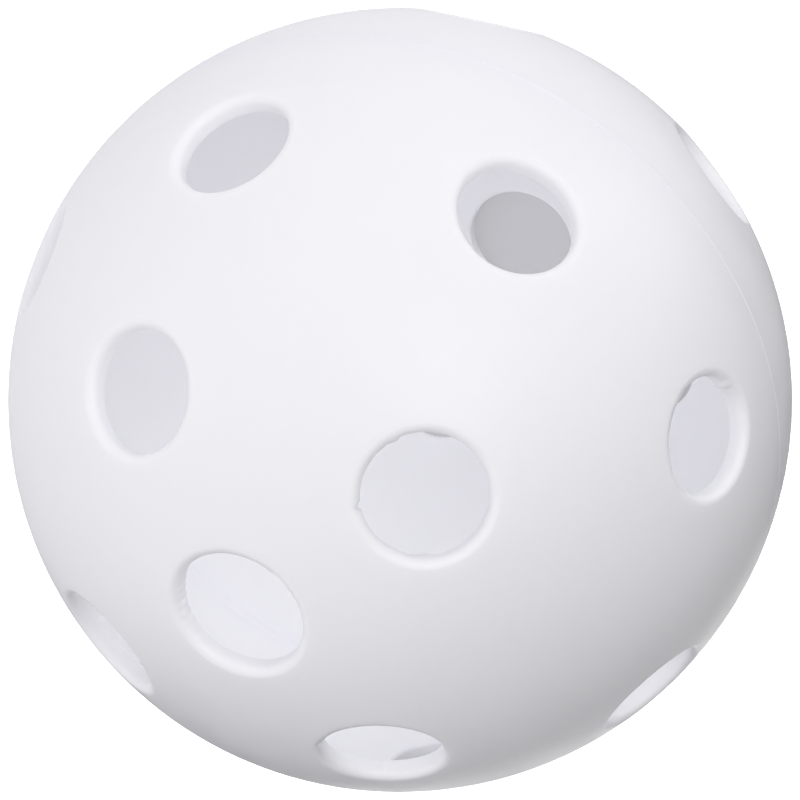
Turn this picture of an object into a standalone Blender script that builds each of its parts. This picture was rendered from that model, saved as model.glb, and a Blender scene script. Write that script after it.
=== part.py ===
"""A 26-hole ball for pickleball: two moulded half shells and the weld that joins them.

Units are metres. The origin is the ball's centre, +Z runs along the axis of the mould, through the
two pole holes, and the weld lies in the XY plane. Both halves come out of one mould, so the lower
half is the upper one turned over and then turned by about two and a half spacings of its outer
ring, so that the holes beside the weld stand between those of the other half.
"""
from math import asin, cos, pi, radians, sin

import bmesh
import bpy
from mathutils import Euler, Matrix, Vector

# Ball
DIAMETER = 0.074
WALL = 0.00185
OUTER_RADIUS = DIAMETER / 2.0
INNER_RADIUS = OUTER_RADIUS - WALL

# Holes of one half: their radius, and each one's polar angle and azimuth in degrees. The pole hole
# is the largest. The rings of four and eight are a degree or two out of true, as the mould is.
POLE_RADIUS = 0.0057
INNER_RING_RADIUS = 0.0053
INNER_RING = ((31.5, 0), (32.5, 85.5), (33, 177), (32, 264.5))
OUTER_RING_RADIUS = 0.0051
OUTER_RING = (
    (67.5, 22), (66, 67), (68, 112), (68, 158), (68, 202), (69, 248), (69, 292), (71.5, 338.5),
)
HOLE_SIDES = 24
PUNCH_LENGTH = 8.0 * WALL

# Weld between the halves: a thin disc of fused plastic with a low bead inside the ball
WELD_HEIGHT = 0.0006
WELD_GAP = 0.0003
BEAD_DEPTH = 0.0003
BEAD_HEIGHT = 0.0005
RIM_HEIGHT = WELD_HEIGHT / 2.0 + WELD_GAP

# The lower half is turned about Z by two and a half spacings of its outer ring, and the small error
# of the weld
OUTER_SPACING = 2.0 * pi / len(OUTER_RING)
WELD_TURN_ERROR = radians(1.5)
LOWER_TURN = 2.5 * OUTER_SPACING + WELD_TURN_ERROR

# Fineness of the turned shapes
TURNED_SIDES = 48
ARC_STEPS = 11

SHELL_COLOUR = (0.86, 0.87, 0.90, 1.0)
WELD_COLOUR = (0.84, 0.85, 0.88, 1.0)
ROUGHNESS = 0.42


def clear_scene():
    for obj in list(bpy.data.objects):
        bpy.data.objects.remove(obj, do_unlink=True)


def plastic(name, colour):
    """White moulded polyethylene."""
    material = bpy.data.materials.new(name)
    material.use_nodes = True
    shader = material.node_tree.nodes["Principled BSDF"]
    shader.inputs["Base Color"].default_value = colour
    shader.inputs["Roughness"].default_value = ROUGHNESS
    shader.inputs["Metallic"].default_value = 0.0
    material.diffuse_color = colour
    return material


def add_object(name, mesh, material=None):
    obj = bpy.data.objects.new(name, mesh)
    bpy.context.scene.collection.objects.link(obj)
    if material:
        mesh.materials.append(material)
    return obj


def arc(radius, start, end):
    """Points (x, z) on a circle about the centre, from one polar angle to another."""
    points = []
    for step in range(ARC_STEPS + 1):
        polar = start + (end - start) * step / ARC_STEPS
        points.append((radius * sin(polar), radius * cos(polar)))
    return points


def turned(name, profile, material):
    """A closed profile at +X, given top to bottom down its outer side, turned about Z."""
    mesh = bpy.data.meshes.new(name)
    bm = bmesh.new()
    verts = [bm.verts.new((x, 0.0, z)) for x, z in profile]
    for i, vert in enumerate(verts):
        bm.edges.new((vert, verts[(i + 1) % len(verts)]))
    bm.to_mesh(mesh)
    bm.free()
    obj = add_object(name, mesh, material)
    screw = obj.modifiers.new("turn", "SCREW")
    screw.axis = "Z"
    screw.angle = 2.0 * pi
    screw.steps = TURNED_SIDES
    screw.render_steps = TURNED_SIDES
    screw.use_merge_vertices = True
    screw.merge_threshold = 0.00001
    screw.use_smooth_shade = True
    return obj


def half_profile():
    """Section of the upper half: outer arc, flat rim, inner arc. The pole hole is left open."""
    outer = arc(OUTER_RADIUS, asin(POLE_RADIUS / OUTER_RADIUS), pi / 2 - asin(RIM_HEIGHT / OUTER_RADIUS))
    inner = arc(INNER_RADIUS, pi / 2 - asin(RIM_HEIGHT / INNER_RADIUS), asin(POLE_RADIUS / INNER_RADIUS))
    return outer + inner


def hole_direction(polar, azimuth):
    """Unit vector from the ball's centre through a hole, from its angles in degrees."""
    polar = radians(polar)
    azimuth = radians(azimuth)
    return Vector((sin(polar) * cos(azimuth), sin(polar) * sin(azimuth), cos(polar)))


def add_punch(bm, polar, azimuth, radius):
    """A round punch through one hole, standing square to the shell."""
    direction = hole_direction(polar, azimuth)
    centre = direction * (INNER_RADIUS + WALL / 2.0)
    place = Matrix.Translation(centre) @ direction.to_track_quat("Z", "Y").to_matrix().to_4x4()
    bmesh.ops.create_cone(
        bm, cap_ends=True, segments=HOLE_SIDES, radius1=radius, radius2=radius,
        depth=PUNCH_LENGTH, matrix=place,
    )


def ring_punches(name):
    """The punches of both rings, as one cutter. The pole hole is part of the turned shape."""
    mesh = bpy.data.meshes.new(name)
    bm = bmesh.new()
    for polar, azimuth in INNER_RING:
        add_punch(bm, polar, azimuth, INNER_RING_RADIUS)
    for polar, azimuth in OUTER_RING:
        add_punch(bm, polar, azimuth, OUTER_RING_RADIUS)
    bm.to_mesh(mesh)
    bm.free()
    cutter = add_object(name, mesh)
    cutter.hide_render = True
    cutter.display_type = "WIRE"
    return cutter


def half_shell(name, material, turn):
    """A half shell with its holes cut, placed by its rotation."""
    shell = turned(name, half_profile(), material)
    cutter = ring_punches(name + "_punches")
    cutter.parent = shell
    cut = shell.modifiers.new("holes", "BOOLEAN")
    cut.operation = "DIFFERENCE"
    cut.solver = "EXACT"
    cut.object = cutter
    shell.rotation_euler = turn
    return shell


def weld(name, material):
    """The fused ring: flush with the outside, with a rounded bead that stands in from the wall."""
    half = WELD_HEIGHT / 2.0
    bead_half = BEAD_HEIGHT / 2.0
    profile = [
        (OUTER_RADIUS, half),
        (OUTER_RADIUS, -half),
        (INNER_RADIUS, -half),
        (INNER_RADIUS - BEAD_DEPTH, -bead_half),
        (INNER_RADIUS - BEAD_DEPTH, bead_half),
        (INNER_RADIUS, half),
    ]
    return turned(name, profile, material)


def build():
    clear_scene()
    half_shell("upper_half_shell", plastic("upper_plastic", SHELL_COLOUR), Euler((0.0, 0.0, 0.0)))
    half_shell("lower_half_shell", plastic("lower_plastic", SHELL_COLOUR), Euler((pi, 0.0, LOWER_TURN)))
    weld("weld_bead", plastic("weld_plastic", WELD_COLOUR))


build()
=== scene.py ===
"""Pickleball ball: two moulded half shells with rounded hole lips, and the weld between them.

Metres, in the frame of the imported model: the origin is the ball's centre, +Z the axis through the
two pole holes. Each half shell is one closed mesh, and so is the weld.
"""
from math import asin, atan2, ceil, cos, pi, radians, sin, sqrt

import bpy
from mathutils import Matrix, Vector, noise
from mathutils.geometry import delaunay_2d_cdt


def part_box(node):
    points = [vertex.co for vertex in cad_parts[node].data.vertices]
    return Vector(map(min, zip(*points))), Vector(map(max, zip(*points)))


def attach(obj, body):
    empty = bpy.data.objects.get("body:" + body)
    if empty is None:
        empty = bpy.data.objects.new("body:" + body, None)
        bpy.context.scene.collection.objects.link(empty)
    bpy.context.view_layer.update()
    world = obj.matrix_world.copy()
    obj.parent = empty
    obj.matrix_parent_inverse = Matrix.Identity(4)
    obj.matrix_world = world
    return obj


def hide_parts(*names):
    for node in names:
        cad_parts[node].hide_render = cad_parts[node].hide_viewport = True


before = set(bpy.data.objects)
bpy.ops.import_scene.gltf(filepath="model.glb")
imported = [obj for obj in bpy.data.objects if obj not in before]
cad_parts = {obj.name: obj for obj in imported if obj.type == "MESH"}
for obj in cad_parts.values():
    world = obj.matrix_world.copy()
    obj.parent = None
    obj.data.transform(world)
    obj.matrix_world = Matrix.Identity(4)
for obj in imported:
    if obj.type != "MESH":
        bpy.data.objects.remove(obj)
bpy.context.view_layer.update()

# Ball: the radius and the floor's height come from the frame, and the wall is the CAD's
OUTER_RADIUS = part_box("weld_bead")[1].x
WALL = 0.00185
INNER_RADIUS = OUTER_RADIUS - WALL
FLOOR_HEIGHT = -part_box("upper_half_shell")[1].z

# Holes of one half, as in the CAD: radius, polar angle and azimuth in degrees. The pole hole is the
# first and largest. The rings of four and eight are a degree or two out of true.
POLE_RADIUS = 0.0057
INNER_RING_RADIUS = 0.0053
INNER_RING = ((31.5, 0), (32.5, 85.5), (33, 177), (32, 264.5))
OUTER_RING_RADIUS = 0.0051
OUTER_RING = (
    (67.5, 22), (66, 67), (68, 112), (68, 158), (68, 202), (69, 248), (69, 292), (71.5, 338.5),
)
LOWER_TURN = radians(114)

# Holes' lips: the radius of the round outside and inside
OUTER_LIP = 0.00072
INNER_LIP = 0.00030

# How far a hole strays from round, and the scales, share and shift of the noise that it follows
LIP_WANDER = 0.00005
BROAD_STRAY_SCALE = 2.2
FINE_STRAY_SCALE = 9.0
FINE_STRAY_SHARE = 0.4
HOLE_STRAY_SHIFT = 9.0

# Rim of a half shell: the radius of its round edge, and how far it stands off the equator
RIM_ROUND = 0.00007
RIM_HEIGHT = 0.00002

# Weld: how far it lies below the skin, half its height, the depths below its top at which it has the
# rims' height and that full height, and how far it runs into the wall inside
WELD_SINK = 0.00003
WELD_HALF_HEIGHT = 0.0007
WELD_EDGE_DEPTH = 0.0001
WELD_FLARE_DEPTH = 0.0005
WELD_OVERLAP = 0.00001

# Bead inside the weld: its rise, and how much and how often that varies
BEAD_RISE = 0.00009
BEAD_SWELL = 0.25
BEAD_SWELL_SCALE = 3.0

# Burrs and nicks that the punches left on the upper half: the hole's number, the angle about its
# axis from the side away from the pole and half the width, in degrees, how far the edge stands into
# the hole or is bitten out of the wall, and how many teeth it has
BURRS = (
    (0, 152, 38, 0.00022, 9),
    (1, 153, 6, -0.00060, 1),
    (1, 82, 9, 0.00020, 1),
    (1, 205, 12, 0.00010, 3),
    (4, -140, 13, -0.00055, 2),
    (4, -39, 4, 0.00022, 1),
    (12, 30, 14, 0.00030, 2),
    (6, 140, 10, 0.00014, 2),
)

# How far the moulded surface strays from a true sphere, and the step in the noise from half to half
WAVE_HEIGHT = 0.000025
WAVE_LENGTH = 0.014
SEED_SHIFT = Vector((7.0, 3.0, 5.0))

# Fineness of the meshes
HOLE_SIDES = 144
EQUATOR_SIDES = 288
POINT_SPACING = 0.0013
LIP_STEPS = 8
BORE_STEPS = 5
BEAD_STEPS = 16
SHARP_ANGLE = radians(50.0)

# Rows of points round each hole in the skin, in steps of its edge, the clear space past them in
# steps of the skin, the fewest points in a row of the skin, and when two points count as one
EDGE_ROWS = (1.0, 2.3)
ROW_CLEARANCE = 0.6
FEWEST_IN_ROW = 6
SAME_POINT = 1e-7

# Plastics: the darkest and lightest colour of the flow marks, and the range of roughness
UPPER_PLASTIC = ((0.925, 0.922, 0.943, 1.0), (0.95, 0.947, 0.967, 1.0), (0.36, 0.46))
LOWER_PLASTIC = ((0.92, 0.917, 0.938, 1.0), (0.945, 0.942, 0.962, 1.0), (0.38, 0.48))
WELD_PLASTIC = ((0.905, 0.902, 0.923, 1.0), (0.93, 0.927, 0.947, 1.0), (0.30, 0.42))

# Texture of the plastics: the noises' scales, the range of noise that a change in colour or
# roughness spans, and the distance and strength of the bumps
FLOW_SCALE = 55.0
SATIN_SCALE = 210.0
RIPPLE_SCALE = 320.0
SKIN_SCALE = 2600.0
NOISE_SPAN = (0.30, 0.70)
RIPPLE_BUMP = (0.00004, 0.25)
SKIN_BUMP = (0.00001, 0.20)

# How deep light goes into the plastic, its share for red, green and blue, and the two heights from
# the weld between which it starts to
LIGHT_DEPTH = 0.0011
DEPTH_BY_COLOUR = (1.0, 0.98, 0.96)
SEAM_CLEAR = (0.0003, 0.0026)

# Camera: where it stands about the ball's centre, its turn about its own axis, distance and lens
CAMERA_AZIMUTH = radians(19.7)
CAMERA_ELEVATION = radians(52.0)
CAMERA_ROLL = radians(142.8)
CAMERA_DISTANCE = 6.16 * OUTER_RADIUS
CAMERA_LENS = 107.3
SENSOR = 36.0

# Dome of light: its axis as right, up and towards the camera, the cosines from that axis between
# which it fades in, its strength outside and inside them, and its colour
DOME_TOWARDS = (-0.56, 0.65, 0.51)
DOME_EDGE = (-0.52, -0.20)
DOME_LIGHT = (0.0, 0.83)
DOME_COLOUR = (0.955, 0.950, 1.0, 1.0)

# Lamps: name, direction as right, up and towards the camera, distance, width and power. The bounce
# stands for light that the floor throws back, and the wash lights only the floor.
LAMPS = (
    ("key", (0.24, 0.08, 0.96), 0.55, 0.35, 0.61),
    ("side", (0.78, 0.60, 0.05), 0.80, 0.40, 0.52),
    ("low", (-0.82, -0.55, 0.10), 0.80, 0.40, 0.20),
    ("bounce", (0.22, -0.36, -0.91), 0.70, 0.45, 0.95),
)
FLOOR_WASH = ("floor_wash", (0.0, 0.0, 1.0), 0.9, 0.5, 26.0)

# Glow inside the ball: its place, in ball radii right, up and towards the camera, power and size
GLOW_PLACE = (-0.15, -0.30, -0.25)
GLOW_POWER = 0.0043
GLOW_RADIUS = 0.012
GLOW_COLOUR = (0.99, 1.0, 0.97)
LIGHT_BOUNCES = 14

# Floor: half its width, the colour of its painted contact shadow under the ball and its colour away from
# it and the radii between them, the radii between which it glows like the dome as painted light, and its
# roughness and that noise's scale
FLOOR_SIZE = 3.0
FLOOR_PAINTED_SHADOW = (0.60, 0.60, 0.60, 1.0)
FLOOR_PALE = (0.80, 0.80, 0.80, 1.0)
CONTACT_SHADE = (0.008, 0.026)
FLOOR_FAR = (0.25, 0.90)
FLOOR_ROUGH = (0.75, 0.85)
FLOOR_SCALE = 40.0


# ---------------------------------------------------------------- materials

def new_material(name):
    material = bpy.data.materials.new(name)
    material.use_nodes = True
    tree = material.node_tree
    return material, tree, tree.nodes["Principled BSDF"]


def noise_node(tree, coords, scale, detail=3.0, roughness=0.55):
    node = tree.nodes.new("ShaderNodeTexNoise")
    node.inputs["Scale"].default_value = scale
    node.inputs["Detail"].default_value = detail
    node.inputs["Roughness"].default_value = roughness
    tree.links.new(coords, node.inputs["Vector"])
    return node.outputs["Fac"]


def ramp_node(tree, value, places, colours):
    node = tree.nodes.new("ShaderNodeValToRGB")
    for element, place, colour in zip(node.color_ramp.elements, places, colours):
        element.position = place
        element.color = colour
    tree.links.new(value, node.inputs["Fac"])
    return node.outputs["Color"]


def range_node(tree, value, low, high, out_low, out_high):
    node = tree.nodes.new("ShaderNodeMapRange")
    node.inputs["From Min"].default_value = low
    node.inputs["From Max"].default_value = high
    node.inputs["To Min"].default_value = out_low
    node.inputs["To Max"].default_value = out_high
    tree.links.new(value, node.inputs["Value"])
    return node.outputs["Result"]


def bump_node(tree, height, distance, strength, below=None):
    node = tree.nodes.new("ShaderNodeBump")
    node.inputs["Distance"].default_value = distance
    node.inputs["Strength"].default_value = strength
    tree.links.new(height, node.inputs["Height"])
    if below:
        tree.links.new(below, node.inputs["Normal"])
    return node.outputs["Normal"]


def height_from_weld(tree, coords):
    split = tree.nodes.new("ShaderNodeSeparateXYZ")
    tree.links.new(coords, split.inputs["Vector"])
    height = tree.nodes.new("ShaderNodeMath")
    height.operation = "ABSOLUTE"
    tree.links.new(split.outputs["Z"], height.inputs[0])
    return height.outputs["Value"]


def white_plastic(name, dark, light, rough, seam_clear=None):
    """Satin white polyethylene: faint flow marks, a fine skin texture and a little light inside.

    seam_clear holds two heights from the weld, between which light starts to pass through the wall.
    """
    material, tree, shader = new_material(name)
    coords = tree.nodes.new("ShaderNodeTexCoord").outputs["Object"]
    flow = noise_node(tree, coords, FLOW_SCALE, detail=4.0)
    colour = ramp_node(tree, flow, NOISE_SPAN, (dark, light))
    tree.links.new(colour, shader.inputs["Base Color"])
    satin = noise_node(tree, coords, SATIN_SCALE, detail=5.0)
    tree.links.new(range_node(tree, satin, *NOISE_SPAN, *rough), shader.inputs["Roughness"])
    grain = noise_node(tree, coords, SKIN_SCALE, detail=2.0)
    ripple = noise_node(tree, coords, RIPPLE_SCALE, detail=2.0)
    broad = bump_node(tree, ripple, *RIPPLE_BUMP)
    fine = bump_node(tree, grain, *SKIN_BUMP, broad)
    tree.links.new(fine, shader.inputs["Normal"])
    shader.inputs["IOR"].default_value = 1.51
    shader.inputs["Specular IOR Level"].default_value = 0.45
    if seam_clear:
        through = range_node(tree, height_from_weld(tree, coords), *seam_clear, 0.0, 1.0)
        tree.links.new(through, shader.inputs["Subsurface Weight"])
    shader.inputs["Subsurface Radius"].default_value = DEPTH_BY_COLOUR
    shader.inputs["Subsurface Scale"].default_value = LIGHT_DEPTH
    return material


def floor_white():
    """White paper with a painted contact shadow under the ball, and a painted glow far away so that no
    dark horizon shows.
    """
    material, tree, shader = new_material("floor_white")
    coords = tree.nodes.new("ShaderNodeTexCoord").outputs["Object"]
    paper = noise_node(tree, coords, FLOOR_SCALE)
    tree.links.new(range_node(tree, paper, *NOISE_SPAN, *FLOOR_ROUGH), shader.inputs["Roughness"])
    spread = tree.nodes.new("ShaderNodeVectorMath")
    spread.operation = "LENGTH"
    tree.links.new(coords, spread.inputs[0])
    # Painted contact shadow: the paper's colour darkens towards the point under the ball's centre
    near = range_node(tree, spread.outputs["Value"], *CONTACT_SHADE, 0.0, 1.0)
    colour = ramp_node(tree, near, (0.0, 1.0), (FLOOR_PAINTED_SHADOW, FLOOR_PALE))
    tree.links.new(colour, shader.inputs["Base Color"])
    # Painted light: far from the ball the floor glows in the dome's colour and strength
    far = range_node(tree, spread.outputs["Value"], *FLOOR_FAR, 0.0, DOME_LIGHT[1])
    shader.inputs["Emission Color"].default_value = DOME_COLOUR
    tree.links.new(far, shader.inputs["Emission Strength"])
    return material


# ---------------------------------------------------------------- holes

def direction(polar, azimuth):
    return Vector((sin(polar) * cos(azimuth), sin(polar) * sin(azimuth), cos(polar)))


def all_holes():
    """(axis, radius) of each hole of the upper half."""
    holes = [(Vector((0.0, 0.0, 1.0)), POLE_RADIUS)]
    for ring, radius in ((INNER_RING, INNER_RING_RADIUS), (OUTER_RING, OUTER_RING_RADIUS)):
        for polar, azimuth in ring:
            holes.append((direction(radians(polar), radians(azimuth)), radius))
    return holes


def hole_axes(axis):
    """Two unit vectors square to a hole's axis: away from the pole, and anticlockwise from it."""
    away = Vector((axis.x * axis.z, axis.y * axis.z, axis.z * axis.z - 1.0))
    if away.length < 0.001:
        away = Vector((1.0, 0.0, 0.0))
    away.normalize()
    return away, axis.cross(away)


def burr(burrs, number, angle):
    """How far the edge of a hole stands into it at an angle about its axis, in degrees."""
    height = 0.0
    for hole, middle, half_width, reach, teeth in burrs:
        off = abs((angle - middle + 180.0) % 360.0 - 180.0) / half_width
        if hole == number and off < 1.0:
            tooth = 0.5 + 0.5 * cos(pi * off * teeth)
            height += reach * tooth * (1.0 - off * off)
    return height


def fillet(hole, shell, lip):
    """Centre of a lip's arc, as (distance from the hole's axis, height along it)."""
    reach = hole + lip
    return reach, sqrt(shell * shell - reach * reach)


def bore_profile(hole):
    """Points (distance, height, share of the wander), from the outer skin to the inner skin."""
    reach, height = fillet(hole, OUTER_RADIUS - OUTER_LIP, OUTER_LIP)
    start = atan2(height, reach)
    points = []
    for step in range(LIP_STEPS + 1):
        turn = start + (pi - start) * step / LIP_STEPS
        points.append((reach + OUTER_LIP * cos(turn), height + OUTER_LIP * sin(turn), step / LIP_STEPS))
    reach_in, height_in = fillet(hole, INNER_RADIUS + INNER_LIP, INNER_LIP)
    for step in range(1, BORE_STEPS):
        points.append((hole, height + (height_in - height) * step / BORE_STEPS, 1.0))
    end = atan2(-height_in, -reach_in) + 2.0 * pi
    for step in range(LIP_STEPS + 1):
        turn = pi + (end - pi) * step / LIP_STEPS
        points.append((
            reach_in + INNER_LIP * cos(turn), height_in + INNER_LIP * sin(turn), 1.0 - step / LIP_STEPS,
        ))
    return points


def bore_rings(number, axis, profile, shift, burrs):
    """Rings of points down one hole, between its edges on the outer and the inner skin."""
    across, along = hole_axes(axis)
    rings = []
    for reach, height, share in profile[1:-1]:
        ring = []
        for i in range(HOLE_SIDES):
            turn = 2.0 * pi * i / HOLE_SIDES
            side = across * cos(turn) + along * sin(turn)
            stray = noise.noise(side * BROAD_STRAY_SCALE + axis * HOLE_STRAY_SHIFT + shift)
            stray += FINE_STRAY_SHARE * noise.noise(side * FINE_STRAY_SCALE + shift)
            bite = burr(burrs, number, 360.0 * i / HOLE_SIDES)
            ring.append(axis * height + side * (reach + share * (LIP_WANDER * stray - bite)))
        rings.append(ring)
    return rings


# ---------------------------------------------------------------- skins, half shells and weld

def wave(point):
    """Height of the moulded skin over a true sphere, for a point of the ball."""
    return WAVE_HEIGHT * noise.noise(point / WAVE_LENGTH)


def flat(point):
    """A unit vector in the upper half as seen from the lower pole, on the plane of the equator."""
    return Vector((point.x / (1.0 + point.z), point.y / (1.0 + point.z)))


def ring_on_sphere(axis, angle):
    across, along = hole_axes(axis)
    points = []
    for i in range(HOLE_SIDES):
        turn = 2.0 * pi * i / HOLE_SIDES
        points.append(axis * cos(angle) + (across * cos(turn) + along * sin(turn)) * sin(angle))
    return points


def equator_ring(polar):
    return [direction(polar, 2.0 * pi * i / EQUATOR_SIDES) for i in range(EQUATOR_SIDES)]


def skin(radius, holes, edge_polar):
    """Triangulates one spherical skin. holes holds (axis, angle at the centre) of each opening.

    Returns unit vectors, faces, and the loops' indices: the rim's loop, and then each hole's.
    """
    points = equator_ring(edge_polar)
    loops = [list(range(EQUATOR_SIDES))]
    for axis, angle in holes:
        loops.append(list(range(len(points), len(points) + HOLE_SIDES)))
        points += ring_on_sphere(axis, angle)
    edges = []
    for loop in loops:
        edges += zip(loop, loop[1:] + loop[:1])
    step = POINT_SPACING / radius
    clear = []
    for axis, angle in holes:
        edge_step = 2.0 * pi * sin(angle) / HOLE_SIDES
        for row in EDGE_ROWS:
            points += ring_on_sphere(axis, angle + row * edge_step)
        clear.append((axis, cos(angle + EDGE_ROWS[-1] * edge_step + ROW_CLEARANCE * step)))
    rim_step = 2.0 * pi / EQUATOR_SIDES
    points += equator_ring(edge_polar - rim_step)
    rows = ceil(edge_polar / step)
    for row in range(1, rows):
        polar = edge_polar * row / rows
        if polar > edge_polar - rim_step - ROW_CLEARANCE * step:
            continue
        count = max(FEWEST_IN_ROW, round(2.0 * pi * sin(polar) / step))
        for i in range(count):
            point = direction(polar, 2.0 * pi * (i + 0.5 * (row % 2)) / count)
            if all(point.dot(axis) < limit for axis, limit in clear):
                points.append(point)
    coords, _, faces, _, _, _ = delaunay_2d_cdt([flat(p) for p in points], edges, [], 0, SAME_POINT)
    if len(coords) != len(points):
        raise RuntimeError("the skin's points did not all survive")
    inside = [(axis, cos(angle)) for axis, angle in holes]
    kept = []
    for face in faces:
        centre = sum((points[i] for i in face), Vector((0.0, 0.0, 0.0))).normalized()
        if all(centre.dot(axis) < limit for axis, limit in inside):
            kept.append(tuple(face))
    return points, kept, loops


def strip(first, second):
    """Quads between two closed loops of the same length."""
    count = len(first)
    return [(first[i], second[i], second[(i + 1) % count], first[(i + 1) % count]) for i in range(count)]


def add_points(verts, points):
    """Adds points to a mesh's vertices and returns their indices."""
    start = len(verts)
    verts += points
    return list(range(start, len(verts)))


def closed_mesh(name, verts, faces):
    mesh = bpy.data.meshes.new(name)
    mesh.from_pydata(verts, [], faces)
    mesh.validate()
    mesh.shade_smooth()
    mesh.set_sharp_from_angle(angle=SHARP_ANGLE)
    obj = bpy.data.objects.new(name, mesh)
    bpy.context.scene.collection.objects.link(obj)
    return obj


def rim_rings(reach, start):
    """Rings round a rim's edge, from the outer skin at the angle start to the face at the weld."""
    rings = []
    for step in range(1, LIP_STEPS + 1):
        turn = start + (-pi / 2 - start) * step / LIP_STEPS
        out = reach + RIM_ROUND * cos(turn)
        height = RIM_HEIGHT + RIM_ROUND + RIM_ROUND * sin(turn)
        ring = []
        for i in range(EQUATOR_SIDES):
            azimuth = 2.0 * pi * i / EQUATOR_SIDES
            ring.append(Vector((out * cos(azimuth), out * sin(azimuth), height)))
        rings.append(ring)
    return rings


def half_shell(name, place, seed, burrs):
    """One closed mesh: outer skin, rounded holes, inner skin and rim, moved into place."""
    shift = SEED_SHIFT * seed
    holes = [(axis, bore_profile(radius)) for axis, radius in all_holes()]
    outer_holes = [(axis, atan2(profile[0][0], profile[0][1])) for axis, profile in holes]
    inner_holes = [(axis, atan2(profile[-1][0], profile[-1][1])) for axis, profile in holes]
    rim_reach = sqrt((OUTER_RADIUS - RIM_ROUND) ** 2 - (RIM_HEIGHT + RIM_ROUND) ** 2)
    rim_start = atan2(RIM_HEIGHT + RIM_ROUND, rim_reach)
    inner_edge = pi / 2 - asin(RIM_HEIGHT / INNER_RADIUS)

    outer, faces, outer_loops = skin(OUTER_RADIUS, outer_holes, pi / 2 - rim_start)
    verts = [point * (OUTER_RADIUS + wave(point * OUTER_RADIUS + shift)) for point in outer]
    base = len(verts)
    inner, inner_faces, inner_loops = skin(INNER_RADIUS, inner_holes, inner_edge)
    verts += [point * INNER_RADIUS for point in inner]
    faces += [tuple(base + i for i in reversed(face)) for face in inner_faces]
    inner_loops = [[base + i for i in loop] for loop in inner_loops]

    for number, (axis, profile) in enumerate(holes):
        last = outer_loops[number + 1]
        for points in bore_rings(number, axis, profile, shift, burrs):
            ring = add_points(verts, points)
            faces += strip(last, ring)
            last = ring
        faces += strip(last, inner_loops[number + 1])

    last = outer_loops[0]
    for points in rim_rings(rim_reach, rim_start):
        ring = add_points(verts, points)
        faces += strip(ring, last)
        last = ring
    faces += strip(inner_loops[0], last)
    return closed_mesh(name, [place @ vert for vert in verts], faces)


def weld_section():
    """The weld's outline, as (distance from the axis, height): the step outside, then the bead."""
    outer = OUTER_RADIUS - WELD_SINK
    section = [
        (outer - WELD_FLARE_DEPTH, WELD_HALF_HEIGHT),
        (outer - WELD_EDGE_DEPTH, RIM_HEIGHT),
        (outer, 0.5 * RIM_HEIGHT),
    ]
    section += [(reach, -height) for reach, height in reversed(section)]
    for step in range(BEAD_STEPS + 1):
        across = 2.0 * step / BEAD_STEPS - 1.0
        rise = BEAD_RISE * (0.5 + 0.5 * cos(pi * across)) - WELD_OVERLAP
        section.append((INNER_RADIUS - rise, WELD_HALF_HEIGHT * across))
    return section


def weld_ring(name):
    """The fused ring: a hairline step below the skin outside, and a low round bead inside."""
    section = weld_section()
    verts = []
    rings = []
    for i in range(EQUATOR_SIDES):
        azimuth = 2.0 * pi * i / EQUATOR_SIDES
        spot = Vector((cos(azimuth), sin(azimuth), 0.0)) * BEAD_SWELL_SCALE
        swell = 1.0 + BEAD_SWELL * noise.noise(spot)
        points = []
        for reach, height in section:
            if reach < INNER_RADIUS:
                reach = INNER_RADIUS - (INNER_RADIUS - reach) * swell
            points.append((reach * cos(azimuth), reach * sin(azimuth), height))
        rings.append(add_points(verts, points))
    faces = []
    for ring, next_ring in zip(rings, rings[1:] + rings[:1]):
        faces += strip(ring, next_ring)
    return closed_mesh(name, verts, faces)


def build_ball():
    """The two halves and the weld, each in its own plastic."""
    turned_over = Matrix.Rotation(LOWER_TURN, 3, "Z") @ Matrix.Rotation(pi, 3, "X")
    upper = half_shell("upper_shell_moulding", Matrix.Identity(3), 1, BURRS)
    lower = half_shell("lower_shell_moulding", turned_over, 2, ())
    weld = weld_ring("weld_seam")
    upper_plastic = white_plastic("shell_white_upper", *UPPER_PLASTIC, SEAM_CLEAR)
    lower_plastic = white_plastic("shell_white_lower", *LOWER_PLASTIC, SEAM_CLEAR)
    weld_plastic = white_plastic("weld_white", *WELD_PLASTIC)
    parts = (
        (upper, upper_plastic, "upper_half_shell", "shell"),
        (lower, lower_plastic, "lower_half_shell", "shell"),
        (weld, weld_plastic, "weld_bead", "weld"),
    )
    for obj, material, node, slot in parts:
        obj.data.materials.append(material)
        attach(obj, "root")
        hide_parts(node)
    return upper, lower, weld


# ---------------------------------------------------------------- stage

def camera_axes():
    """Unit vectors of the camera: right, up, and back from the ball towards it."""
    back = direction(pi / 2 - CAMERA_ELEVATION, CAMERA_AZIMUTH)
    level_up = (Vector((0.0, 0.0, 1.0)) - back * back.z).normalized()
    level_right = level_up.cross(back)
    up = level_up * cos(CAMERA_ROLL) + level_right * sin(CAMERA_ROLL)
    return up.cross(back), up, back


RIGHT, UP, BACK = camera_axes()


def from_camera(x, y, z):
    """A direction given as right, up and towards the camera."""
    return RIGHT * x + UP * y + BACK * z


def add_camera():
    data = bpy.data.cameras.new("camera")
    camera = bpy.data.objects.new("camera", data)
    bpy.context.scene.collection.objects.link(camera)
    rotation = Matrix((RIGHT, UP, BACK)).transposed()
    camera.matrix_world = Matrix.Translation(BACK * CAMERA_DISTANCE) @ rotation.to_4x4()
    data.sensor_width = SENSOR
    data.lens = CAMERA_LENS
    data.clip_start = 0.005
    data.clip_end = 50.0
    bpy.context.scene.camera = camera


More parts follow.
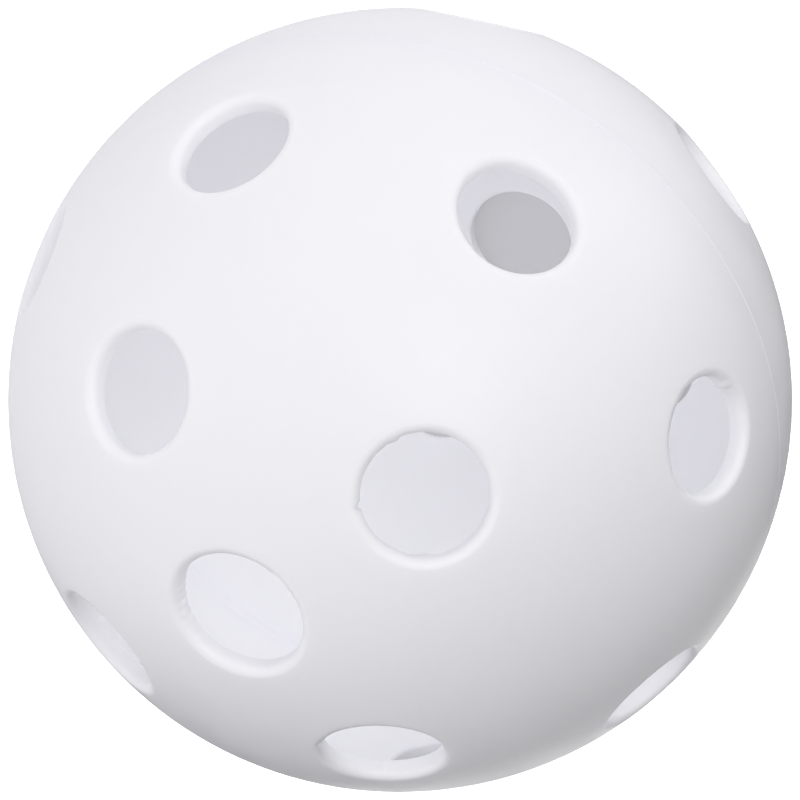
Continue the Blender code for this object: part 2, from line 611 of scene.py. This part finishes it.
def add_dome():
    """The studio: a broad soft dome of light above and in front, falling away to dark behind it."""
    world = bpy.data.worlds.new("studio")
    world.use_nodes = True
    tree = world.node_tree
    coords = tree.nodes.new("ShaderNodeTexCoord").outputs["Generated"]
    facing = tree.nodes.new("ShaderNodeVectorMath")
    facing.operation = "DOT_PRODUCT"
    facing.inputs[1].default_value = from_camera(*DOME_TOWARDS)
    tree.links.new(coords, facing.inputs[0])
    strength = range_node(tree, facing.outputs["Value"], *DOME_EDGE, *DOME_LIGHT)
    strength.node.interpolation_type = "SMOOTHSTEP"
    background = tree.nodes["Background"]
    background.inputs["Color"].default_value = DOME_COLOUR
    tree.links.new(strength, background.inputs["Strength"])
    bpy.context.scene.world = world


def area_light(name, towards, distance, width, power):
    data = bpy.data.lights.new(name, "AREA")
    data.shape = "DISK"
    data.size = width
    data.energy = power
    light = bpy.data.objects.new(name, data)
    light.visible_camera = False
    axis = from_camera(*towards)
    light.location = axis.normalized() * distance
    light.rotation_mode = "QUATERNION"
    light.rotation_quaternion = axis.to_track_quat("Z", "Y")
    bpy.context.scene.collection.objects.link(light)
    return light


def light_only(lamp, name, pieces):
    """Keeps a lamp's light to the given pieces."""
    lit = bpy.data.collections.new(name)
    for piece in pieces:
        lit.objects.link(piece)
    lamp.light_linking.receiver_collection = lit


def add_lights(floor):
    for lamp in LAMPS:
        area_light(*lamp)
    light_only(area_light(*FLOOR_WASH), "lit_by_wash", [floor])


def add_inner_glow(pieces):
    """A weak soft lamp inside the ball, for the light that thin white plastic passes on."""
    data = bpy.data.lights.new("inner_glow", "POINT")
    data.shadow_soft_size = GLOW_RADIUS
    data.energy = GLOW_POWER
    data.color = GLOW_COLOUR
    lamp = bpy.data.objects.new("inner_glow", data)
    lamp.location = from_camera(*GLOW_PLACE) * OUTER_RADIUS
    lamp.visible_camera = False
    lamp.visible_glossy = False
    bpy.context.scene.collection.objects.link(lamp)
    light_only(lamp, "lit_by_glow", pieces)


def add_floor():
    size = FLOOR_SIZE
    mesh = bpy.data.meshes.new("floor")
    corners = [(-size, -size, 0.0), (size, -size, 0.0), (size, size, 0.0), (-size, size, 0.0)]
    mesh.from_pydata(corners, [], [(0, 1, 2, 3)])
    mesh.materials.append(floor_white())
    floor = bpy.data.objects.new("floor", mesh)
    floor.location.z = FLOOR_HEIGHT
    bpy.context.scene.collection.objects.link(floor)
    floor.visible_diffuse = False
    floor.visible_glossy = False
    floor.visible_shadow = False
    return floor


bpy.context.scene.view_settings.view_transform = "Standard"
bpy.context.scene.cycles.diffuse_bounces = LIGHT_BOUNCES
bpy.context.scene.cycles.max_bounces = LIGHT_BOUNCES
add_inner_glow(build_ball())
add_lights(add_floor())
add_dome()
add_camera()
